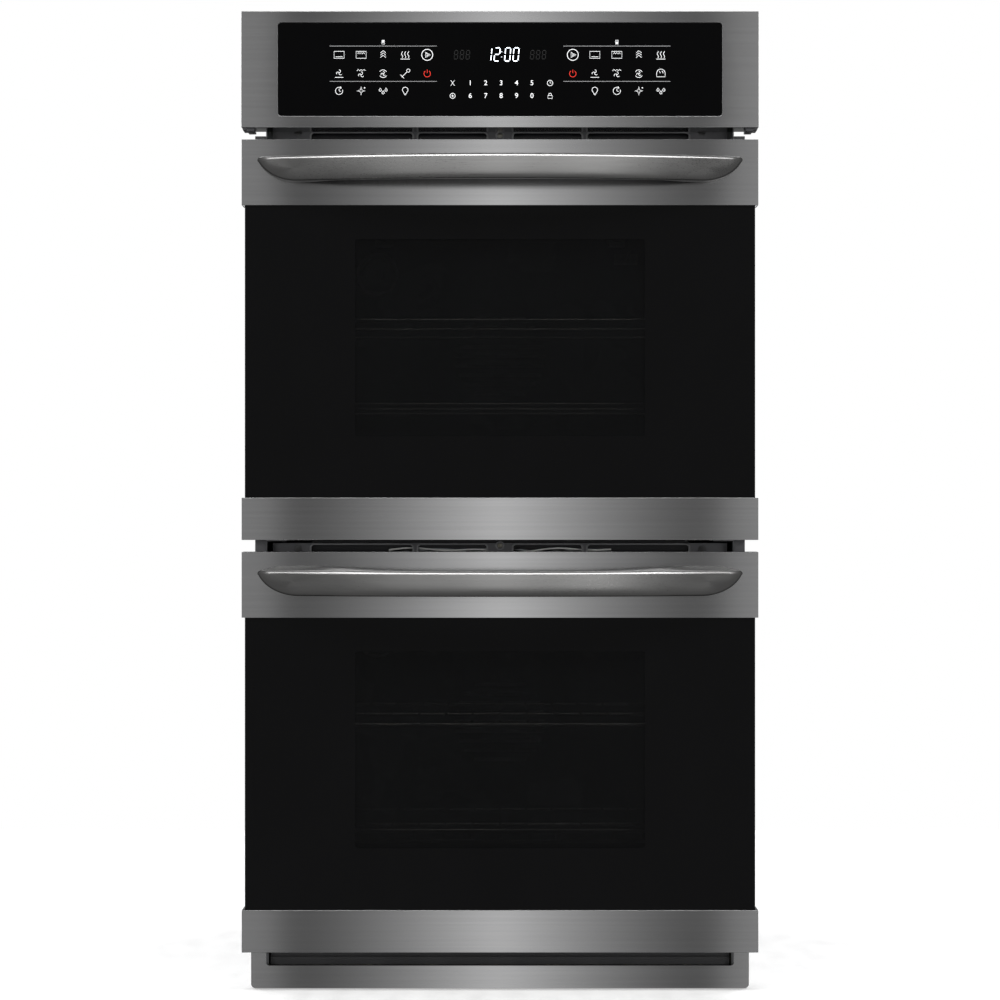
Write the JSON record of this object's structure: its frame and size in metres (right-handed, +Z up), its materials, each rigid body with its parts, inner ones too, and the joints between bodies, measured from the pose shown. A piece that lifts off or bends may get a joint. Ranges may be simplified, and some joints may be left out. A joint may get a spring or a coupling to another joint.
{
  "type": "double wall oven",
  "caption": "Built-in double wall oven with a touch control panel, drop-down glass doors, bowed bar handles, wire racks, convection fans and cooling vents.",
  "frame": {"origin": "centre of the casing's underside, which rests on the cabinet's platform", "axes": "+Z up, -Y out of the front, +X to the right seen from the front; the cabinet's face lies in the plane y = -0.292 m"},
  "size_m": [0.686, 0.698, 1.303],
  "materials": {
    "black_steel": "dark stainless steel, brushed from side to side, fingerprint-resistant coat",
    "handle_steel": "dark stainless steel, satin",
    "galvanised": "zinc-coated sheet steel with a fine spangle",
    "dark_paint": "dark grey paint, satin",
    "enamel": "dark blue-grey porcelain enamel with fine pale flecks",
    "glass_wool": "yellow glass wool",
    "seal_rope": "woven glass-fibre rope",
    "element_sheath": "heat-dulled nickel alloy tube",
    "motor_steel": "dull zinc-plated steel",
    "lamp_ceramic": "white steatite ceramic",
    "lamp_glass": "clear heat-proof glass",
    "probe_steel": "stainless steel",
    "touch_glass": "black-backed glass with pale printed marks",
    "housing_plastic": "black moulded plastic",
    "circuit_board": "green laminate",
    "display_black": "black display with white segments",
    "screw_steel": "blackened steel",
    "hinge_steel": "zinc-plated steel",
    "terminal_plastic": "ivory moulded plastic",
    "zinc": "die-cast zinc",
    "fan_steel": "aluminised steel",
    "blower_plastic": "black moulded plastic",
    "rack_chrome": "nickel-plated steel wire",
    "plunger_plastic": "white moulded plastic",
    "door_glass": "tempered glass, black-printed round a dark clear window",
    "pane_glass": "heat-reflecting glass"
  },
  "bodies": {
    "chassis": {"base_pan": "galvanised", "left_side_panel": "galvanised", "right_side_panel": "galvanised", "back_panel": "galvanised", "top_cover": "galvanised", "mid_duct": "galvanised", "upper_vent_panel": "dark_paint", "middle_vent_panel": "dark_paint", "upper_cavity": "enamel", "lower_cavity": "enamel", "insulation_blankets": "glass_wool", "door_gaskets": "seal_rope", "broil_elements": "element_sheath", "bake_elements": "element_sheath", "ring_elements": "element_sheath", "fan_covers": "enamel", "fan_motors": "motor_steel", "lamp_holders": "lamp_ceramic", "lamp_lenses": "lamp_glass", "temperature_probes": "probe_steel", "blower_housing": "galvanised", "blower_motor": "motor_steel", "control_frame": "black_steel", "control_glass": "touch_glass", "control_housing": "housing_plastic", "control_board": "circuit_board", "display_module": "display_black", "side_trims": "dark_paint", "bottom_trim": "black_steel", "fixing_screws": "screw_steel", "hinge_receivers": "galvanised", "hinge_arms": "hinge_steel", "latch_units": "galvanised", "terminal_block": "terminal_plastic", "conduit_gland": "zinc"},
    "upper_door": {"upper_door_top_band": "black_steel", "upper_door_glass": "door_glass", "upper_door_bottom_band": "black_steel", "upper_door_handle": "handle_steel", "upper_door_liner": "enamel", "upper_door_panes": "pane_glass", "upper_door_hinges": "hinge_steel"},
    "lower_door": {"lower_door_top_band": "black_steel", "lower_door_glass": "door_glass", "lower_door_bottom_band": "black_steel", "lower_door_handle": "handle_steel", "lower_door_liner": "enamel", "lower_door_panes": "pane_glass", "lower_door_hinges": "hinge_steel"},
    "upper_fan_wheel": {"upper_fan_wheel": "fan_steel"},
    "lower_fan_wheel": {"lower_fan_wheel": "fan_steel"},
    "blower_wheel": {"blower_wheel": "blower_plastic"},
    "upper_rack_high": {"upper_rack_high": "rack_chrome"},
    "upper_rack_low": {"upper_rack_low": "rack_chrome"},
    "lower_rack_high": {"lower_rack_high": "rack_chrome"},
    "lower_rack_low": {"lower_rack_low": "rack_chrome"},
    "upper_latch_hook": {"upper_latch_hook": "hinge_steel"},
    "lower_latch_hook": {"lower_latch_hook": "hinge_steel"},
    "upper_switch_plunger": {"upper_switch_plunger": "plunger_plastic"},
    "lower_switch_plunger": {"lower_switch_plunger": "plunger_plastic"}
  },
  "joints": [
    {"name": "upper_door_hinge", "type": "hinge", "parent": "chassis", "child": "upper_door", "pos_m": [0, -0.318, 0.59], "axis": [1, 0, 0], "range_deg": [0, 88], "stiffness_Nm_per_rad": 26, "springref_deg": -11.46},
    {"name": "lower_door_hinge", "type": "hinge", "parent": "chassis", "child": "lower_door", "pos_m": [0, -0.318, 0.043], "axis": [1, 0, 0], "range_deg": [0, 88], "stiffness_Nm_per_rad": 26, "springref_deg": -11.46},
    {"name": "upper_rack_high_slide", "type": "slide", "parent": "chassis", "child": "upper_rack_high", "axis": [0, -1, 0], "range_m": [0, 0.2309]},
    {"name": "upper_rack_low_slide", "type": "slide", "parent": "chassis", "child": "upper_rack_low", "axis": [0, -1, 0], "range_m": [0, 0.2309]},
    {"name": "lower_rack_high_slide", "type": "slide", "parent": "chassis", "child": "lower_rack_high", "axis": [0, -1, 0], "range_m": [0, 0.2309]},
    {"name": "lower_rack_low_slide", "type": "slide", "parent": "chassis", "child": "lower_rack_low", "axis": [0, -1, 0], "range_m": [0, 0.2309]},
    {"name": "upper_fan_spin", "type": "hinge", "parent": "chassis", "child": "upper_fan_wheel", "pos_m": [0, 0.176, 0.842], "axis": [0, -1, 0], "continuous": true},
    {"name": "lower_fan_spin", "type": "hinge", "parent": "chassis", "child": "lower_fan_wheel", "pos_m": [0, 0.176, 0.295], "axis": [0, -1, 0], "continuous": true},
    {"name": "blower_spin", "type": "hinge", "parent": "chassis", "child": "blower_wheel", "pos_m": [0, -0.042, 1.155], "axis": [0, 0, 1], "continuous": true},
    {"name": "upper_latch_turn", "type": "hinge", "parent": "chassis", "child": "upper_latch_hook", "pos_m": [-0.034, -0.276, 1.085], "axis": [0, 0, -1], "range_deg": [0, 45]},
    {"name": "lower_latch_turn", "type": "hinge", "parent": "chassis", "child": "lower_latch_hook", "pos_m": [-0.034, -0.276, 0.538], "axis": [0, 0, -1], "range_deg": [0, 45]},
    {"name": "upper_switch_slide", "type": "slide", "parent": "chassis", "child": "upper_switch_plunger", "axis": [0, -1, 0], "range_m": [0, 0.0051]},
    {"name": "lower_switch_slide", "type": "slide", "parent": "chassis", "child": "lower_switch_plunger", "axis": [0, -1, 0], "range_m": [0, 0.0051]}
  ],
  "couplings": [
    {"joint": "upper_rack_high_slide", "follows": "upper_door_hinge", "m_per_rad": 0.15},
    {"joint": "upper_rack_low_slide", "follows": "upper_door_hinge", "m_per_rad": 0.15},
    {"joint": "lower_rack_high_slide", "follows": "lower_door_hinge", "m_per_rad": 0.15},
    {"joint": "lower_rack_low_slide", "follows": "lower_door_hinge", "m_per_rad": 0.15},
    {"joint": "upper_switch_slide", "follows": "upper_door_hinge", "m_per_rad": 0.003255},
    {"joint": "lower_switch_slide", "follows": "lower_door_hinge", "m_per_rad": 0.003255}
  ]
}
